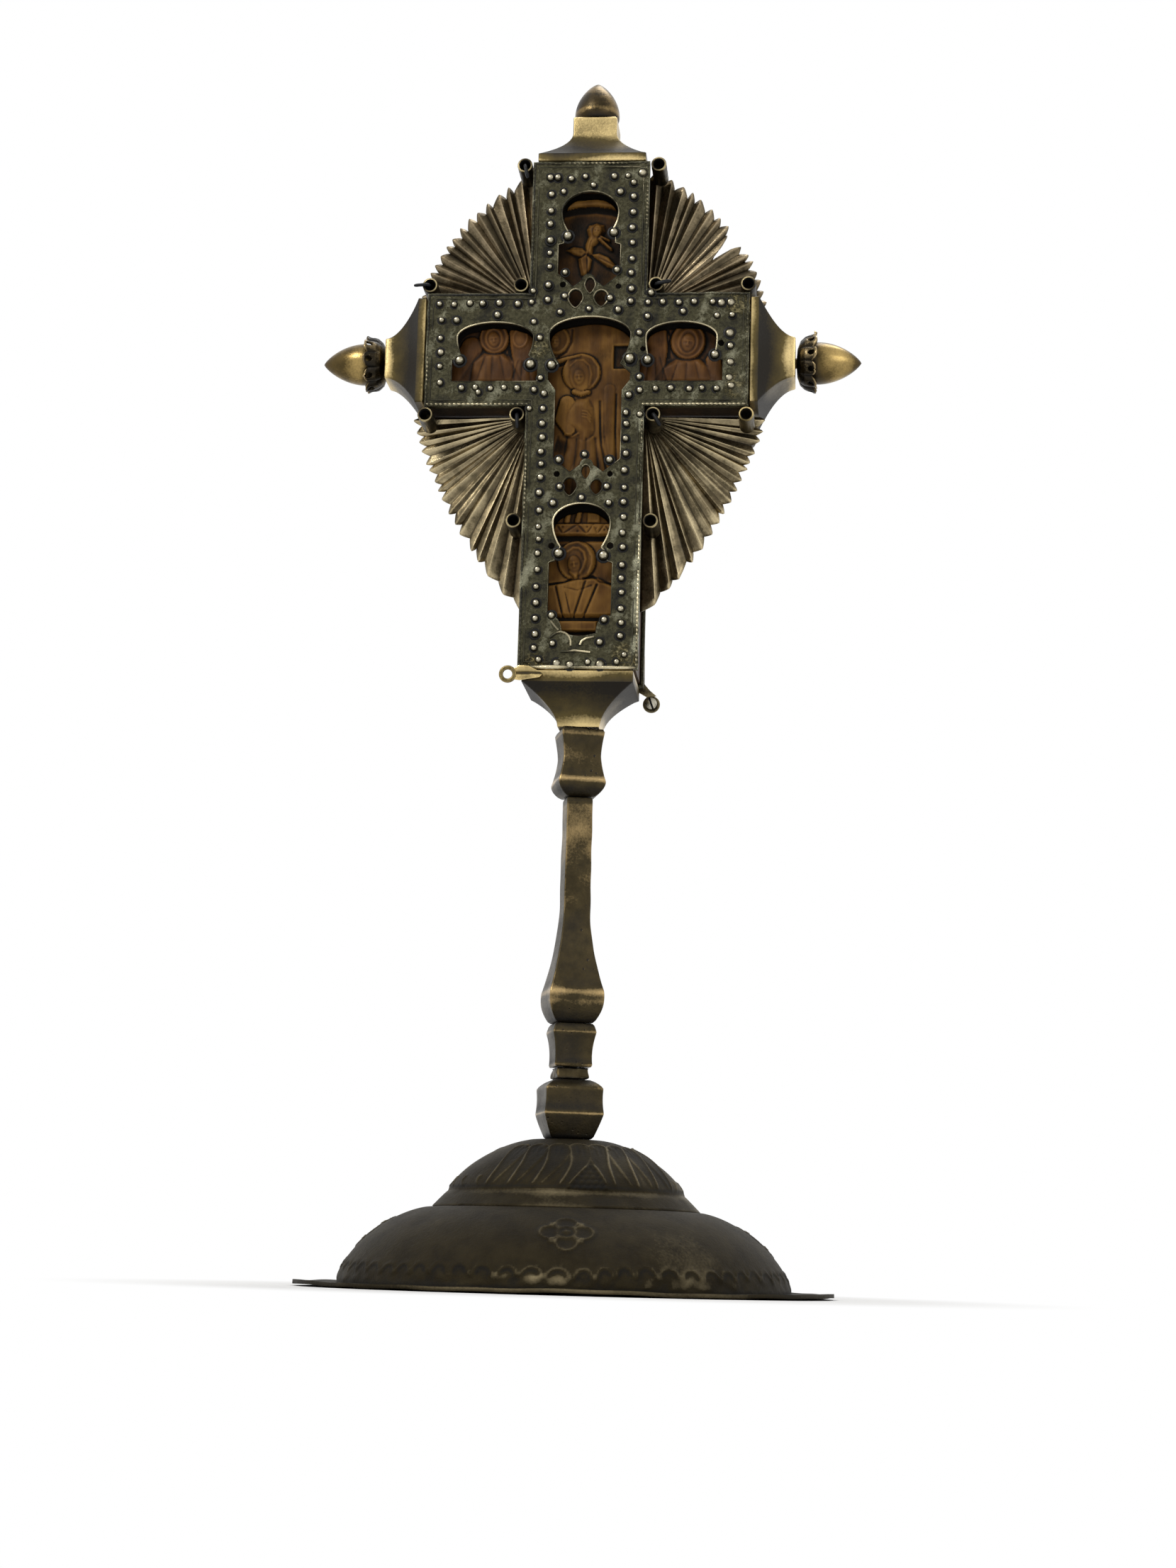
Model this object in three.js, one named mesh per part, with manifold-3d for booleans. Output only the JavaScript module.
// Carved boxwood altar cross in a metal mount, on a square baluster stem and a domed foot.
// Millimetres, z up. The origin is the middle of the foot's rim, on the surface it stands on.
// The front of the cross looks towards -y.

import * as THREE from 'three';
import Module from 'manifold-3d';
import { mergeVertices } from 'three/addons/utils/BufferGeometryUtils.js';

const wasm = await Module();
wasm.setup();

// Clearances, rod and pins
const seat = 0.3;
const rodRadius = 2;
const pinRadius = 1.5;
const wireRadius = 0.55;
const cutOver = 1;

// Domed foot, raised from two sheets: a base with a flat brim, and a dome that stands on its ledge
const footSheet = 1;
const rimRadius = 74;
const lowerDomeRadius = 62;
const lowerDomeRise = 21;
const lowerDomePower = 1.6;
const ledgeRadius = 36.8;
const ledgeWidth = 4;
const bandRise = 4.2;
const upperDomeRadius = 32.5;
const upperDomeRise = 14.5;
const upperDomePower = 1.45;
const crownRadius = 10;

// Fastening under the foot
const washerRadius = 9;
const washerThickness = 1.6;
const nutRadius = 5.2;
const nutHeight = 4;
const rodBelowNut = 1.4;
const rodIntoWood = 20;

// Stem, a stack of square cast pieces turned a little on the rod
const stemTwist = THREE.MathUtils.degToRad(16);
const knopFootWidth = 11.4;
const knopRidgeWidth = 16.4;
const knopShoulderWidth = 16;
const knopTopWidth = 10.3;
const knopLowerRise = 6.9;
const knopMiddleRise = 6.9;
const knopUpperRise = 2.4;
const neckWidth = 8.7;
const neckRise = 3;
const collarWidth = 10.6;
const collarRidgeWidth = 12.2;
const collarCoveRise = 9.6;
const collarBevelRise = 2.3;
const shaftFootWidth = 10.8;
const shaftBulgeWidth = 15.2;
const shaftNeckWidth = 7.5;
const shaftTopWidth = 7.3;
const shaftBulgeRise = 5.7;
const shaftShoulderRise = 3;
const shaftCoveRise = 26;
const shaftStraightRise = 28.7;
const upperKnopFootWidth = 8.6;
const upperKnopBulgeWidth = 13.5;
const upperKnopWaistWidth = 10.6;
const upperKnopLipWidth = 12;
const upperKnopBulgeRise = 4;
const upperKnopWaistRise = 7.4;
const upperKnopNeckRise = 6.1;
const upperKnopTopRise = 1.6;

// Mount of the cross: two trays, front and back, that hold the wood between them
const mountDepth = 26;
const armWidth = 34;
const lowerLimb = 76.9;
const upperLimb = 40.1;
const armSpan = 93;
const plateThickness = 1;
const lipThickness = 0.8;
const lipDepth = 2.4;

// Sockets on the four ends
const flangeWidth = 31.4;
const flangeThickness = 2.4;
const bottomFlangeThickness = 3.4;
const socketTaper = 10.4;
const bottomTaper = 11.5;
const socketEndWidth = 12;
const flarePower = 1.8;
const topNeckWidth = 12.9;
const topNeckRise = 5;
const topTaper = 9.2;

// Finials
const budRadius = 6.6;
const budBaseRadius = 5.4;
const budShoulderRise = 2.4;
const budTipRise = 10.4;
const tipFullness = 1.9;
const tipTaper = 0.8;
const cupRadius = 8.8;
const cupDepth = 6.3;
const cupWall = 0.9;
const acornRadius = 6.05;
const acornTipRise = 12.4;
const pinIntoWood = 8;
const pinIntoFinial = 8;

// Windows of the trays, by the strips of plate that they leave, and the niches in the wood behind them
const limbWindowSide = 8.1;
const topWindowSill = 6;
const topWindowHead = 9.3;
const centreWindowHalf = 9.5;
const centreWindowShift = 0.9;
const centreWindowDrop = 15.5;
const centreWindowHead = 7.4;
const bottomWindowSill = 10.3;
const bottomWindowHead = 29;
const armWindowSill = 7.5;
const armWindowHead = 9;
const leftWindowInner = 14.1;
const leftWindowOuter = 7.8;
const rightWindowInner = 15.4;
const rightWindowOuter = 7.5;
const crestDrop = 4;
const roundHoleRadius = 2;
const ringHoleRadius = 1.1;
const ringLobeRadius = 1.9;
const nicheMargin = 2;
const nicheDepth = 2.4;
const crestHoleShare = 0.4;
const crestWeb = 1;

// Hinge tubes on the trays' edges, with the tie wires through some of them
const tubeRadius = 2.2;
const tubeBore = 1.5;
const tubeProud = 0.2;
const topTubeInset = 1;
const armTubeInset = 0.5;
const middleTubeRise = 43;
const hookLength = 4.6;
const hookBend = 1;

// Pleated ray fans in the four corners
const rayThickness = 0.6;
const rayPleat = 2.4;
const rayApexRadius = 1.6;
const rayTipDepth = 1.1;
const upperRayCount = 10;
const lowerRayCount = 14;
const upperRayPastTube = 4.1;
const upperRayMiddle = 33;
const lowerRayPastTube = 25.3;
const lowerRayMiddle = 32.5;
const wideRayPastTube = 5.7;

// Eyelet at the lower left and screw lug at the lower right
const eyeRadius = 2.5;
const eyeBore = 1.3;
const eyeThickness = 0.9;
const eyeOffset = 19.5;
const eyeDrop = 1.9;
const tongueLength = 9;
const tongueWidth = 2.6;
const lugOffset = 19.2;
const lugDrop = 4.4;
const lugTabWidth = 2.4;
const lugTabRise = 10;
const lugElbowRise = 1;
const screwShankRadius = 1;
const screwHeadRadius = 1.7;
const screwHeadThickness = 1;
const screwLength = 4.5;
const slotWidth = 0.5;
const slotDepth = 0.45;
const slotTurn = THREE.MathUtils.degToRad(20);

// How finely round shapes are divided
const footSegments = 40;
const roundSegments = 20;
const domeSteps = 6;
const curveSteps = 5;
const tubeCurveSteps = 6;
const wireSides = 6;
const wireSteps = 30;

// Heights that follow from the sizes above
const ledgeTop = footSheet + lowerDomeRise;
const bandBottom = ledgeTop + seat;
const upperDomeBottom = bandBottom + bandRise;
const footTop = upperDomeBottom + upperDomeRise;
const knopBottom = footTop + seat;
const neckBottom = knopBottom + knopLowerRise + knopMiddleRise + knopUpperRise + seat;
const collarBottom = neckBottom + neckRise + seat;
const shaftBottom = collarBottom + collarCoveRise + collarBevelRise + seat;
const shaftRise = shaftBulgeRise + shaftShoulderRise + shaftCoveRise + shaftStraightRise;
const upperKnopBottom = shaftBottom + shaftRise + seat;
const upperKnopRise = upperKnopBulgeRise + upperKnopWaistRise + upperKnopNeckRise + upperKnopTopRise;
const bottomSocketBottom = upperKnopBottom + upperKnopRise + seat;
const headBottom = bottomSocketBottom + bottomTaper + bottomFlangeThickness + seat;
const armBottom = headBottom + lowerLimb;
const armTop = armBottom + armWidth;
const armMiddle = (armBottom + armTop) / 2;
const headTop = armTop + upperLimb;
const topCapBottom = headTop + seat;
const budBottom = topCapBottom + flangeThickness + topTaper + topNeckRise + seat;
const washerTop = footTop - footSheet - seat;
const nutTop = washerTop - washerThickness - seat;
const rodBottom = nutTop - nutHeight - rodBelowNut;
const rodTop = headBottom + lipThickness + rodIntoWood;

// Places across the mount that follow from the sizes above
const woodInset = lipThickness + seat;
const woodHalfDepth = mountDepth / 2 - plateThickness - seat;
const woodHalfWidth = armWidth / 2 - woodInset;
const rodBore = rodRadius + seat;
const pinBore = pinRadius + seat;
const rayHalfDepth = (rayPleat + rayThickness) / 2;
const tubeOffset = armWidth / 2 + seat + tubeRadius;

// Metals and wood
const castBrass = new THREE.MeshStandardMaterial({ color: 0x6a5f45, metalness: 1, roughness: 0.45 });
const brightBrass = new THREE.MeshStandardMaterial({ color: 0x8a7c58, metalness: 1, roughness: 0.35 });
const footBrass = new THREE.MeshStandardMaterial({ color: 0x4a4236, metalness: 1, roughness: 0.5 });
const silver = new THREE.MeshStandardMaterial({ color: 0x5f6156, metalness: 1, roughness: 0.5 });
const rayMetal = new THREE.MeshStandardMaterial({ color: 0x85735c, metalness: 1, roughness: 0.35 });
const iron = new THREE.MeshStandardMaterial({ color: 0x1a1a1c, metalness: 1, roughness: 0.55 });
const boxwood = new THREE.MeshStandardMaterial({ color: 0x8a5a30, metalness: 0, roughness: 0.5 });

const object = new THREE.Group();
const stem = new THREE.Group();
stem.rotation.z = stemTwist;
object.add(stem);

// Turns a closed geometry into a solid that can be joined and cut.
function toSolid(geometry) {
  const bare = geometry.index ? geometry.toNonIndexed() : geometry.clone();
  bare.deleteAttribute('normal');
  bare.deleteAttribute('uv');
  const merged = mergeVertices(bare, 1e-4);
  const vertProperties = new Float32Array(merged.attributes.position.array);
  const triVerts = new Uint32Array(merged.index.array);
  return new wasm.Manifold(new wasm.Mesh({ numProp: 3, vertProperties, triVerts }));
}

// Gives a joined or cut solid back as a geometry.
function toGeometry(solid) {
  const mesh = solid.getMesh();
  const positions = [];
  for (let i = 0; i < mesh.vertProperties.length; i += mesh.numProp) {
    positions.push(...mesh.vertProperties.slice(i, i + 3));
  }
  const geometry = new THREE.BufferGeometry();
  geometry.setAttribute('position', new THREE.Float32BufferAttribute(positions, 3));
  geometry.setIndex(Array.from(mesh.triVerts));
  return geometry;
}

// Adds one named piece to a group.
function addPiece(name, solid, material, group = object) {
  const mesh = new THREE.Mesh(toGeometry(solid), material);
  mesh.name = name;
  group.add(mesh);
  return mesh;
}

// A round bar along x, y or z, from one place on that axis to another.
function bar(axis, radius, from, to, centre = [0, 0, 0], sides = roundSegments) {
  const geometry = new THREE.CylinderGeometry(radius, radius, Math.abs(to - from), sides);
  if (axis === 'x') geometry.rotateZ(-Math.PI / 2);
  if (axis === 'z') geometry.rotateX(Math.PI / 2);
  const middle = (from + to) / 2;
  const place = { x: [middle, 0, 0], y: [0, middle, 0], z: [0, 0, middle] }[axis];
  geometry.translate(place[0] + centre[0], place[1] + centre[1], place[2] + centre[2]);
  return toSolid(geometry);
}

// A solid of revolution about z. The profile goes up the outside and starts and ends on the axis.
function turned(profile, segments = roundSegments) {
  const geometry = new THREE.LatheGeometry(profile, segments);
  geometry.rotateX(Math.PI / 2);
  return toSolid(geometry);
}

// A slab with the outline of a shape drawn in x and z, from a depth y towards the front.
function slab(shape, backY, thickness, steps = curveSteps) {
  const geometry = new THREE.ExtrudeGeometry(shape, {
    depth: thickness,
    bevelEnabled: false,
    curveSegments: steps,
  });
  geometry.rotateX(Math.PI / 2);
  geometry.translate(0, backY, 0);
  return toSolid(geometry);
}

// A closed stack of rectangles, each [height, width, depth].
function stacked(stations) {
  const corners = [[-0.5, -0.5], [0.5, -0.5], [0.5, 0.5], [-0.5, 0.5]];
  const positions = [];
  const index = [];
  for (const [height, width, depth] of stations) {
    for (const [x, y] of corners) positions.push(x * width, y * depth, height);
  }
  const last = 4 * (stations.length - 1);
  index.push(0, 2, 1, 0, 3, 2);
  index.push(last, last + 1, last + 2, last, last + 2, last + 3);
  for (let row = 0; row < last; row += 4) {
    for (let side = 0; side < 4; side += 1) {
      const next = (side + 1) % 4;
      index.push(row + side, row + next, row + 4 + next);
      index.push(row + side, row + 4 + next, row + 4 + side);
    }
  }
  const geometry = new THREE.BufferGeometry();
  geometry.setAttribute('position', new THREE.Float32BufferAttribute(positions, 3));
  geometry.setIndex(index);
  return toSolid(geometry);
}

// Stations of a square baluster. Each stretch rises to a new width and bows out (or in) between.
function balusterStations(bottom, startWidth, stretches) {
  const stations = [[bottom, startWidth, startWidth]];
  let height = bottom;
  let width = startWidth;
  for (const { rise, to, bow = 0 } of stretches) {
    const steps = bow === 0 ? 1 : curveSteps;
    for (let i = 1; i <= steps; i += 1) {
      const t = i / steps;
      const here = THREE.MathUtils.lerp(width, to, t) + bow * 4 * t * (1 - t);
      stations.push([height + rise * t, here, here]);
    }
    height += rise;
    width = to;
  }
  return stations;
}

// A square stem piece with the rod's bore through it.
function stemPiece(name, bottom, startWidth, stretches, material = castBrass) {
  const stations = balusterStations(bottom, startWidth, stretches);
  const top = stations[stations.length - 1][0];
  const body = stacked(stations).subtract(bar('z', rodBore, bottom - cutOver, top + cutOver));
  addPiece(name, body, material, stem);
}

// Stations of a flared socket, from its square end up to its flange.
function socketStations(endWidth, neck, taper, flange, depth) {
  const stations = [[0, endWidth, endWidth]];
  if (neck > 0) stations.push([neck, endWidth, endWidth]);
  for (let i = 1; i <= curveSteps; i += 1) {
    const t = i / curveSteps;
    const share = t ** flarePower;
    const width = THREE.MathUtils.lerp(endWidth, flangeWidth, share);
    stations.push([neck + taper * t, width, THREE.MathUtils.lerp(endWidth, depth, share)]);
  }
  stations.push([neck + taper + flange, flangeWidth, depth]);
  return stations;
}

// Points of a quarter superellipse, from its widest place up to its top.
function domeArc(centre, reach, bottom, rise, power, steps) {
  const points = [];
  for (let i = 0; i <= steps; i += 1) {
    const angle = (i / steps) * (Math.PI / 2);
    const across = Math.cos(angle) ** (2 / power);
    const up = Math.sin(angle) ** (2 / power);
    points.push(new THREE.Vector2(centre + reach * across, bottom + rise * up));
  }
  return points;
}

// The same line moved square to itself by a sheet's thickness, to the right of its direction.
function offsetLine(points, distance) {
  return points.map((point, i) => {
    const before = points[Math.max(i - 1, 0)];
    const after = points[Math.min(i + 1, points.length - 1)];
    const into = point.clone().sub(before).normalize();
    const out = after.clone().sub(point).normalize();
    if (i === 0) into.copy(out);
    if (i === points.length - 1) out.copy(into);
    const along = into.clone().add(out).normalize();
    const stretch = distance / along.dot(out);
    return new THREE.Vector2(point.x - along.y * stretch, point.y + along.x * stretch);
  });
}

// A turned sheet from the line of its outside. Its foot is cut level where the line starts.
function raisedSheet(outside) {
  const inside = offsetLine(outside, footSheet);
  const [foot, next] = outside;
  if (next.y > foot.y) {
    const slope = foot.distanceTo(next) / (next.y - foot.y);
    inside[0].set(foot.x - footSheet * slope, foot.y);
  }
  return turned([...outside, ...inside.reverse(), outside[0]], footSegments);
}

// Domed foot: a base with a flat brim and a full lower dome, and on its ledge a sloping band
// that rises into the upper dome
function addFoot() {
  const lowerReach = lowerDomeRadius - ledgeRadius;
  addPiece('foot_base', raisedSheet([
    new THREE.Vector2(rimRadius, footSheet),
    ...domeArc(ledgeRadius, lowerReach, footSheet, lowerDomeRise, lowerDomePower, domeSteps),
    new THREE.Vector2(ledgeRadius - ledgeWidth, ledgeTop),
  ]), footBrass);
  const upperReach = upperDomeRadius - crownRadius;
  addPiece('foot_dome', raisedSheet([
    new THREE.Vector2(ledgeRadius, bandBottom),
    ...domeArc(crownRadius, upperReach, upperDomeBottom, upperDomeRise, upperDomePower, domeSteps),
    new THREE.Vector2(rodBore, footTop),
  ]), footBrass);
}

// Rod through the whole stem, with its washer and nut under the foot
function addRod() {
  const washer = bar('z', washerRadius, washerTop - washerThickness, washerTop);
  addPiece('foot_washer', washer.subtract(bar('z', rodBore, nutTop, footTop)), castBrass);
  const nut = bar('z', nutRadius, nutTop - nutHeight, nutTop, [0, 0, 0], 6);
  addPiece('foot_nut', nut.subtract(bar('z', rodBore, rodBottom, footTop)), iron);
  addPiece('tie_rod', bar('z', rodRadius, rodBottom, rodTop), iron);
}

// Square cast pieces of the stem, from the foot up
function addStem() {
  stemPiece('base_knop', knopBottom, knopFootWidth, [
    { rise: knopLowerRise, to: knopRidgeWidth, bow: 0.3 },
    { rise: knopMiddleRise, to: knopShoulderWidth, bow: -0.5 },
    { rise: knopUpperRise, to: knopTopWidth, bow: 0.8 },
  ]);
  stemPiece('neck_ring', neckBottom, neckWidth, [
    { rise: neckRise, to: neckWidth, bow: 0.4 },
  ]);
  stemPiece('lower_collar', collarBottom, collarWidth, [
    { rise: collarCoveRise, to: collarRidgeWidth, bow: -0.9 },
    { rise: collarBevelRise, to: shaftFootWidth },
  ]);
  stemPiece('shaft', shaftBottom, shaftFootWidth, [
    { rise: shaftBulgeRise, to: shaftBulgeWidth, bow: 0.8 },
    { rise: shaftShoulderRise, to: shaftBulgeWidth, bow: 0.15 },
    { rise: shaftCoveRise, to: shaftNeckWidth, bow: -2 },
    { rise: shaftStraightRise, to: shaftTopWidth },
  ]);
  stemPiece('upper_knop', upperKnopBottom, upperKnopFootWidth, [
    { rise: upperKnopBulgeRise, to: upperKnopBulgeWidth, bow: 1.2 },
    { rise: upperKnopWaistRise, to: upperKnopWaistWidth, bow: -0.4 },
    { rise: upperKnopNeckRise, to: upperKnopLipWidth, bow: -0.3 },
    { rise: upperKnopTopRise, to: upperKnopLipWidth, bow: 0.3 },
  ]);
}

// Outline of the cross in x and z, drawn in by an inset on every side.
function crossOutline(inset) {
  const half = armWidth / 2 - inset;
  const reach = armSpan / 2 - inset;
  const low = armBottom + inset;
  const high = armTop - inset;
  const corners = [
    [half, headBottom + inset], [half, low], [reach, low], [reach, high], [half, high],
    [half, headTop - inset],
  ];
  const left = corners.map(([x, z]) => [-x, z]).reverse();
  return [...corners, ...left].map(([x, z]) => new THREE.Vector2(x, z));
}

// Windows by their edges in x and z, with the shares of their half width and height at which
// their outline turns. A pinched neck divides the arched head from the wider foot, one ends in a
// narrower rounded sill, and a crest with round openings closes others.
const limbWindowHalf = armWidth / 2 - limbWindowSide;
const windows = [
  { left: -limbWindowHalf, right: limbWindowHalf,
    bottom: armTop + topWindowSill, top: headTop - topWindowHead,
    sill: 1, neck: 0.65, arch: 0.91, curb: 0, shoulder: 0.355, pinch: 0.49, spring: 0.745, crest: true },
  { left: centreWindowShift - centreWindowHalf, right: centreWindowShift + centreWindowHalf,
    bottom: armBottom - centreWindowDrop, top: armTop - centreWindowHead,
    sill: 1, neck: 0.905, arch: 1.21, curb: 0, shoulder: 0.572, pinch: 0.667, spring: 0.872, crest: true },
  { left: -limbWindowHalf, right: limbWindowHalf,
    bottom: headBottom + bottomWindowSill, top: armBottom - bottomWindowHead,
    sill: 0.54, neck: 0.63, arch: 0.91, curb: 0.135, shoulder: 0.543, pinch: 0.654, spring: 0.851,
    crest: false },
  { left: leftWindowOuter - armSpan / 2, right: -leftWindowInner,
    bottom: armBottom + armWindowSill, top: armTop - armWindowHead,
    sill: 1, neck: 0.78, arch: 0.886, curb: 0, shoulder: 0.36, pinch: 0.44, spring: 0.75, crest: false },
  { left: rightWindowInner, right: armSpan / 2 - rightWindowOuter,
    bottom: armBottom + armWindowSill, top: armTop - armWindowHead,
    sill: 1, neck: 0.795, arch: 0.847, curb: 0, shoulder: 0.36, pinch: 0.44, spring: 0.75, crest: false },
].map((window) => ({
  ...window,
  x: (window.left + window.right) / 2,
  half: (window.right - window.left) / 2,
}));

// Outline of one window, drawn anticlockwise from its lower left corner.
function windowPath(window, withCrest) {
  const { x, half, bottom, top } = window;
  const [sill, neck, arch] = [window.sill, window.neck, window.arch].map((share) => share * half);
  const [curb, shoulder, pinch, spring] = [
    window.curb, window.shoulder, window.pinch, window.spring,
  ].map((share) => THREE.MathUtils.lerp(bottom, top, share));
  const waist = (pinch + spring) / 2;
  const path = new THREE.Path();
  path.moveTo(x - sill, bottom);
  if (withCrest && window.crest) {
    path.lineTo(x - half / 2, bottom - crestDrop);
    path.lineTo(x - ringLobeRadius, bottom - crestDrop / 2);
    path.absarc(x, bottom - crestDrop / 2, ringLobeRadius, Math.PI, 0, true);
    path.lineTo(x + half / 2, bottom - crestDrop);
  }
  path.lineTo(x + sill, bottom);
  if (sill < half) path.quadraticCurveTo(x + sill, curb, x + half, curb);
  path.lineTo(x + half, shoulder);
  path.lineTo(x + neck, pinch);
  path.quadraticCurveTo(x + arch, waist, x + arch, spring);
  path.absellipse(x, spring, arch, top - spring, 0, Math.PI, false);
  path.quadraticCurveTo(x - arch, waist, x - neck, pinch);
  path.lineTo(x - half, shoulder);
  if (sill < half) {
    path.lineTo(x - half, curb);
    path.quadraticCurveTo(x - sill, curb, x - sill, bottom);
  }
  path.closePath();
  return path;
}

// A round opening in the plate below a window's crest.
function roundHole(x, z, radius) {
  const path = new THREE.Path();
  path.absarc(x, z, radius, 0, 2 * Math.PI, false);
  return path;
}

// One tray: a cross-shaped plate with its windows and a lip turned back round its edge.
function traySolid(withCrest) {
  const plate = new THREE.Shape(crossOutline(0));
  for (const window of windows) {
    plate.holes.push(windowPath(window, withCrest));
    if (withCrest && window.crest) {
      const below = window.bottom - crestDrop - roundHoleRadius - crestWeb;
      const ring = window.bottom - crestDrop / 2;
      plate.holes.push(roundHole(window.x - window.half * crestHoleShare, below, roundHoleRadius));
      plate.holes.push(roundHole(window.x + window.half * crestHoleShare, below, roundHoleRadius));
      plate.holes.push(roundHole(window.x, ring - ringLobeRadius, ringHoleRadius));
    }
  }
  const lip = new THREE.Shape(crossOutline(0));
  lip.holes.push(new THREE.Path(crossOutline(lipThickness)));
  const front = -mountDepth / 2;
  return slab(plate, front + plateThickness, plateThickness).add(slab(lip, front + lipDepth, lipDepth));
}

// Front and back trays, the back one plainer
function addTrays() {
  addPiece('front_frame', traySolid(true), silver);
  addPiece('back_frame', traySolid(false).rotate([0, 0, 180]), silver);
}

// Wooden cross, with a carved niche behind each window and bores for the rod and the pins
function addWood() {
  let wood = slab(new THREE.Shape(crossOutline(woodInset)), woodHalfDepth, 2 * woodHalfDepth);
  for (const window of windows) {
    const width = 2 * (Math.max(1, window.arch) * window.half + nicheMargin);
    const height = window.top - window.bottom + 2 * nicheMargin;
    const middle = (window.top + window.bottom) / 2;
    for (const side of [-1, 1]) {
      const niche = new THREE.BoxGeometry(width, 2 * nicheDepth, height);
      niche.translate(-side * window.x, side * woodHalfDepth, middle);
      wood = wood.subtract(toSolid(niche));
    }
  }
  wood = wood.subtract(bar('z', rodBore, headBottom, rodTop + seat));
  wood = wood.subtract(bar('z', pinBore, headTop - pinIntoWood - seat, headTop));
  for (const side of [-1, 1]) {
    const from = side * (armSpan / 2 - pinIntoWood - seat);
    wood = wood.subtract(bar('x', pinBore, from, side * armSpan / 2, [0, 0, armMiddle]));
  }
  addPiece('boxwood_cross', wood, boxwood);
}

// Flared sockets on the ends of the cross
function addSockets() {
  const bottomStations = socketStations(
    socketEndWidth, 0, bottomTaper, bottomFlangeThickness, mountDepth,
  );
  const bottomHeight = bottomTaper + bottomFlangeThickness;
  const bottom = stacked(bottomStations).subtract(bar('z', rodBore, -cutOver, bottomHeight + cutOver));
  addPiece('bottom_socket', bottom, brightBrass).position.z = bottomSocketBottom;

  const capHeight = topNeckRise + topTaper + flangeThickness;
  const capStations = socketStations(
    topNeckWidth, topNeckRise, topTaper, flangeThickness, mountDepth,
  );
  const cap = stacked(capStations).subtract(bar('z', pinBore, -cutOver, capHeight + cutOver));
  const capPiece = addPiece('top_cap', cap, brightBrass);
  capPiece.rotation.x = Math.PI;
  capPiece.position.z = topCapBottom + capHeight;

  const sideHeight = socketTaper + flangeThickness;
  for (const [name, side] of [['left_socket', -1], ['right_socket', 1]]) {
    const stations = socketStations(socketEndWidth, 0, socketTaper, flangeThickness, mountDepth);
    const socket = stacked(stations).subtract(bar('z', pinBore, -cutOver, sideHeight + cutOver));
    const piece = addPiece(name, socket, brightBrass);
    piece.rotation.y = -side * Math.PI / 2;
    piece.position.set(side * (armSpan / 2 + seat + sideHeight), 0, armMiddle);
  }
}

// Points of a pointed dome, full at its widest and drawn in to a tip.
function pointedDome(radius, bottom, rise) {
  const points = [];
  for (let i = 1; i <= domeSteps; i += 1) {
    const t = i / domeSteps;
    points.push(new THREE.Vector2(radius * (1 - t ** tipFullness) ** tipTaper, bottom + rise * t));
  }
  return points;
}

// Points of a rounded bottom, from its flat up to its widest place.
function roundedBottom(flatRadius, radius, rise) {
  return domeArc(flatRadius, radius - flatRadius, 0, rise, 2, curveSteps)
    .map((point) => new THREE.Vector2(point.x, rise - point.y)).reverse();
}

// Bud on the top cap, made in one piece with its shank down into the wood
function addBud() {
  const profile = [
    new THREE.Vector2(0, 0),
    ...roundedBottom(budBaseRadius, budRadius, budShoulderRise),
    ...pointedDome(budRadius, budShoulderRise, budTipRise),
  ];
  const shank = bar('z', pinRadius, headTop - pinIntoWood - budBottom, budShoulderRise);
  addPiece('top_bud', turned(profile).add(shank), castBrass).position.z = budBottom;
}

// Petal cup and acorn on each side socket, screwed on by one pin
function addSideFinials() {
  const socketEnd = armSpan / 2 + seat + flangeThickness + socketTaper;
  const cupBottom = socketEnd + seat;
  const hollow = domeArc(0, cupRadius - cupWall, 0, cupDepth - cupWall, 2, curveSteps)
    .map((point) => new THREE.Vector2(point.x, cupDepth - point.y));
  const cup = turned([...roundedBottom(0, cupRadius, cupDepth), ...hollow])
    .subtract(bar('z', pinBore, -cutOver, cupDepth));
  const acornBase = cupDepth - cupWall - seat;
  const acorn = [
    ...roundedBottom(0, acornRadius, acornBase),
    ...pointedDome(acornRadius, acornBase, acornTipRise),
  ];
  const acornSolid = turned(acorn).subtract(bar('z', pinBore, -cutOver, pinIntoFinial + seat));

  for (const [name, side] of [['left', -1], ['right', 1]]) {
    const turn = side * Math.PI / 2;
    const cupPiece = addPiece(`${name}_cup`, cup, castBrass);
    cupPiece.rotation.y = turn;
    cupPiece.position.set(side * cupBottom, 0, armMiddle);
    const acornBottom = cupBottom + cupWall + seat;
    const acornPiece = addPiece(`${name}_acorn`, acornSolid, castBrass);
    acornPiece.rotation.y = turn;
    acornPiece.position.set(side * acornBottom, 0, armMiddle);
    const inner = side * (armSpan / 2 - pinIntoWood);
    const outerEnd = side * (acornBottom + pinIntoFinial);
    addPiece(`${name}_pin`, bar('x', pinRadius, inner, outerEnd, [0, 0, armMiddle]), castBrass);
  }
}

// Places of the hinge tubes along the edges of the trays, for the right side
const tubePlaces = [
  { name: 'top', x: tubeOffset, z: headTop - topTubeInset },
  { name: 'upper_corner', x: tubeOffset, z: armTop + seat + tubeRadius },
  { name: 'upper_arm', x: armSpan / 2 - armTubeInset, z: armTop + seat + tubeRadius },
  { name: 'lower_arm', x: armSpan / 2 - armTubeInset, z: armBottom - seat - tubeRadius },
  { name: 'lower_corner', x: tubeOffset, z: armBottom - seat - tubeRadius },
  { name: 'middle', x: tubeOffset, z: headBottom + middleTubeRise },
];

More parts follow.
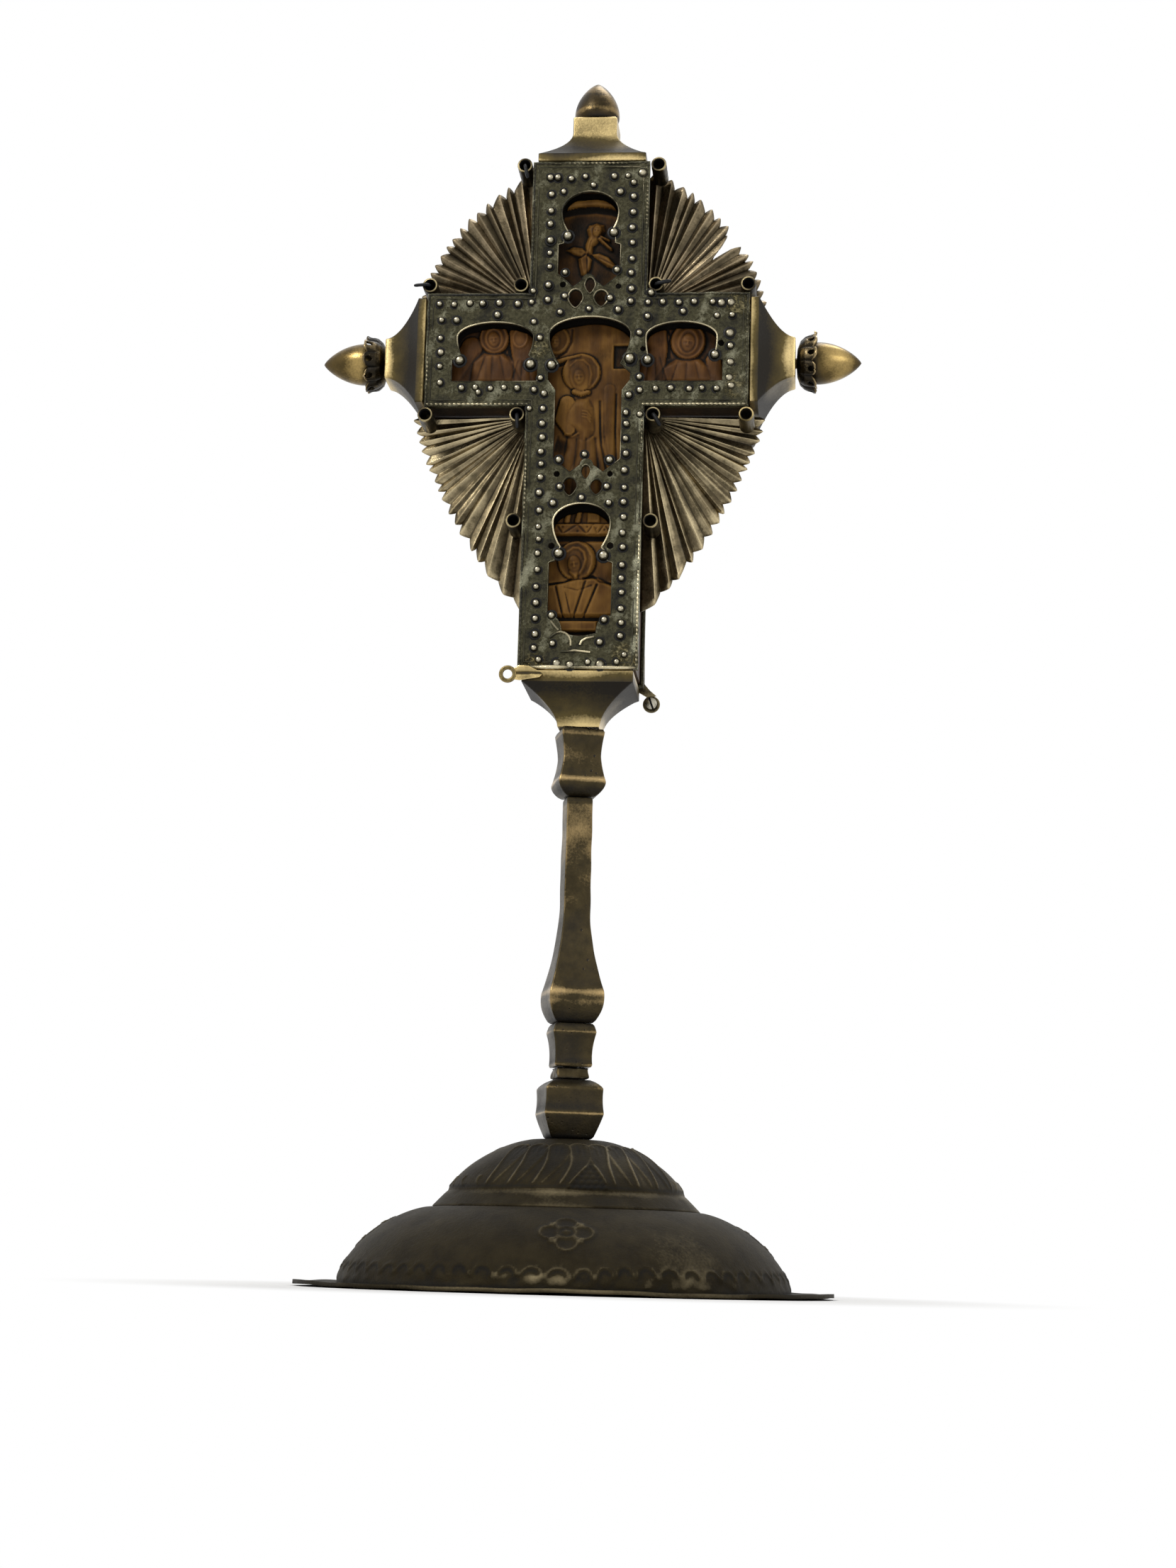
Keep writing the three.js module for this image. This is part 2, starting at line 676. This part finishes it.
// Hinge tubes, in front of and behind the rays
function addTubes() {
  const ring = new THREE.Shape();
  ring.absarc(0, 0, tubeRadius, 0, 2 * Math.PI, false);
  ring.holes.push(roundHole(0, 0, tubeBore));
  const inner = rayHalfDepth + seat;
  const length = mountDepth / 2 + tubeProud - inner;
  const tube = slab(ring, -inner, length, tubeCurveSteps);
  for (const place of tubePlaces) {
    for (const [side, sideName] of [[-1, 'left'], [1, 'right']]) {
      const front = addPiece(`front_${sideName}_${place.name}_tube`, tube, brightBrass);
      front.position.set(side * place.x, 0, place.z);
      const back = addPiece(`back_${sideName}_${place.name}_tube`, tube, brightBrass);
      back.rotation.z = Math.PI;
      back.position.set(side * place.x, 0, place.z);
    }
  }
}

// Iron tie wires, each with the tube it runs through and the way its ends are bent
const wirePlaces = [
  { name: 'top_left_wire', side: -1, tube: 'top', bend: [0.25, -1] },
  { name: 'upper_arm_left_wire', side: -1, tube: 'upper_arm', bend: [-1, -0.1] },
  { name: 'upper_corner_right_wire', side: 1, tube: 'upper_corner', bend: [1, 0.1] },
  { name: 'lower_corner_left_wire', side: -1, tube: 'lower_corner', bend: [0.1, -1] },
  { name: 'lower_corner_right_wire', side: 1, tube: 'lower_corner', bend: [0.5, -0.85] },
];

// Where a wire's tube is, in x and z.
function wireCentre(wire) {
  const place = tubePlaces.find((candidate) => candidate.name === wire.tube);
  return new THREE.Vector2(wire.side * place.x, place.z);
}

// A wire through the front tube, the rays and the back tube, with both ends bent over.
function addWires() {
  const section = new THREE.Shape();
  for (let i = 0; i < wireSides; i += 1) {
    const angle = (i / wireSides) * 2 * Math.PI;
    const point = [wireRadius * Math.cos(angle), wireRadius * Math.sin(angle)];
    if (i === 0) section.moveTo(...point);
    else section.lineTo(...point);
  }
  section.closePath();
  const end = mountDepth / 2 + tubeProud + seat + wireRadius;
  for (const wire of wirePlaces) {
    const centre = wireCentre(wire);
    const bend = new THREE.Vector2(...wire.bend).normalize();
    const at = (along, y) => new THREE.Vector3(
      centre.x + bend.x * along, y, centre.y + bend.y * along,
    );
    const path = new THREE.CurvePath();
    const curve = (a, b, c) => path.add(new THREE.QuadraticBezierCurve3(a, b, c));
    path.add(new THREE.LineCurve3(at(hookLength, -end), at(hookBend, -end)));
    curve(at(hookBend, -end), at(0, -end), at(0, hookBend - end));
    path.add(new THREE.LineCurve3(at(0, hookBend - end), at(0, end - hookBend)));
    curve(at(0, end - hookBend), at(0, end), at(hookBend, end));
    path.add(new THREE.LineCurve3(at(hookBend, end), at(hookLength, end)));
    const geometry = new THREE.ExtrudeGeometry(section, {
      steps: wireSteps, extrudePath: path, bevelEnabled: false,
    });
    addPiece(wire.name, toSolid(geometry), iron);
  }
}

// Length of the rays at a share of the way from the upright round to the arm.
function rayLength(share, tall, middle, wide) {
  return middle + (tall - middle) * (1 - share) ** 3 + (wide - middle) * share ** 3;
}

// A pleated fan of rays: a folded sheet whose folds deepen outwards from its apex.
function raySolid(count, tall, middle, wide, lift) {
  const folds = 2 * count;
  const longest = Math.max(tall, middle, wide);
  const positions = [];
  for (let i = 0; i <= folds; i += 1) {
    const share = i / folds;
    const angle = share * Math.PI / 2;
    const crest = i % 2 === 1;
    const tip = rayLength(share, tall, middle, wide) - (crest ? 0 : rayTipDepth);
    const fold = (crest ? -1 : 1) * rayPleat / 2;
    for (const radius of [rayApexRadius, tip]) {
      const y = fold * radius / longest;
      for (const face of [-rayThickness / 2, rayThickness / 2]) {
        positions.push(radius * Math.sin(angle), y + face, lift * radius * Math.cos(angle));
      }
    }
  }
  const index = [];
  const quad = (a, b, c, d) => index.push(a, b, c, a, c, d);
  for (let i = 0; i < folds; i += 1) {
    const a = 4 * i;
    const b = a + 4;
    quad(a, a + 2, b + 2, b);
    quad(a + 1, b + 1, b + 3, a + 3);
    quad(a, b, b + 1, a + 1);
    quad(a + 2, a + 3, b + 3, b + 2);
  }
  const last = 4 * folds;
  quad(0, 1, 3, 2);
  quad(last, last + 2, last + 3, last + 1);
  if (lift > 0) index.reverse();
  const geometry = new THREE.BufferGeometry();
  geometry.setAttribute('position', new THREE.Float32BufferAttribute(positions, 3));
  geometry.setIndex(index);
  return toSolid(geometry);
}

// Four fans between the wood's arms, with holes where the tie wires pass through
function addRays() {
  const apexX = woodHalfWidth + seat;
  const upperApex = armTop - woodInset + seat;
  const lowerApex = armBottom + woodInset - seat;
  const tubePlace = (name) => tubePlaces.find((place) => place.name === name);
  const upper = {
    count: upperRayCount,
    tall: tubePlace('top').z - upperApex + upperRayPastTube,
    middle: upperRayMiddle,
    wide: tubePlace('upper_arm').x - apexX + wideRayPastTube,
  };
  const lower = {
    count: lowerRayCount,
    tall: lowerApex - tubePlace('middle').z + lowerRayPastTube,
    middle: lowerRayMiddle,
    wide: tubePlace('lower_arm').x - apexX + wideRayPastTube,
  };
  const fans = [
    { name: 'upper_left_rays', side: -1, lift: 1, z: upperApex, size: upper },
    { name: 'upper_right_rays', side: 1, lift: 1, z: upperApex, size: upper },
    { name: 'lower_left_rays', side: -1, lift: -1, z: lowerApex, size: lower },
    { name: 'lower_right_rays', side: 1, lift: -1, z: lowerApex, size: lower },
  ];
  for (const fan of fans) {
    const { count, tall, middle, wide } = fan.size;
    let solid = raySolid(count, tall, middle, wide, fan.lift);
    if (fan.side < 0) solid = solid.mirror([1, 0, 0]);
    solid = solid.translate([fan.side * apexX, 0, fan.z]);
    for (const wire of wirePlaces) {
      const centre = wireCentre(wire);
      const hole = [centre.x, 0, centre.y];
      solid = solid.subtract(bar('y', wireRadius + seat, -rayPleat, rayPleat, hole, tubeCurveSteps * 2));
    }
    addPiece(fan.name, solid, rayMetal);
  }
}

// A flat strip with a width, from one point in x and z to another.
function strip(from, to, width, backY, thickness) {
  const along = to.clone().sub(from).normalize().multiplyScalar(width / 2);
  const across = new THREE.Vector2(-along.y, along.x);
  const corners = [
    from.clone().sub(across), to.clone().sub(across), to.clone().add(across), from.clone().add(across),
  ];
  return slab(new THREE.Shape(corners), backY, thickness);
}

// Eyelet soldered over the bottom socket's front, and the screw lug on the back tray
function addEyeletAndLug() {
  const frontY = -mountDepth / 2 - seat;
  const eye = new THREE.Vector2(-eyeOffset, headBottom - eyeDrop);
  const tongueEnd = new THREE.Vector2(eye.x + tongueLength, eye.y);
  const eyelet = bar('y', eyeRadius, frontY - eyeThickness, frontY, [eye.x, 0, eye.y])
    .add(strip(eye, tongueEnd, tongueWidth, frontY, eyeThickness))
    .subtract(bar('y', eyeBore, frontY - eyeThickness - cutOver, frontY + cutOver, [eye.x, 0, eye.y]));
  addPiece('eyelet', eyelet, brightBrass);

  const lugFront = mountDepth / 2 + seat;
  const lugBack = lugFront + eyeThickness;
  const lugEye = new THREE.Vector2(lugOffset, headBottom - lugDrop);
  const elbow = new THREE.Vector2(armWidth / 2 - lugTabWidth / 2, headBottom + lugElbowRise);
  const tabEnd = new THREE.Vector2(elbow.x, headBottom + lugTabRise);
  const lug = bar('y', eyeRadius, lugFront, lugBack, [lugEye.x, 0, lugEye.y])
    .add(strip(lugEye, elbow, lugTabWidth, lugBack, eyeThickness))
    .add(strip(elbow, tabEnd, lugTabWidth, lugBack, eyeThickness))
    .add(bar('y', lugTabWidth / 2, lugFront, lugBack, [elbow.x, 0, elbow.y]))
    .subtract(bar('y', eyeBore, lugFront - cutOver, lugBack + cutOver, [lugEye.x, 0, lugEye.y]));
  addPiece('screw_lug', lug, brightBrass);

  const headBack = lugFront - seat;
  const headFront = headBack - screwHeadThickness;
  const slot = new THREE.BoxGeometry(slotWidth, 2 * slotDepth, 4 * screwHeadRadius);
  slot.rotateY(slotTurn);
  slot.translate(0, headFront, 0);
  const screw = bar('y', screwHeadRadius, headFront, headBack)
    .add(bar('y', screwShankRadius, headFront + slotDepth * 1.5, headBack + screwLength))
    .subtract(toSolid(slot));
  addPiece('lug_screw', screw, iron).position.set(lugEye.x, 0, lugEye.y);
}

addFoot();
addRod();
addStem();
addTrays();
addWood();
addSockets();
addBud();
addSideFinials();
addTubes();
addWires();
addRays();
addEyeletAndLug();

export default object;
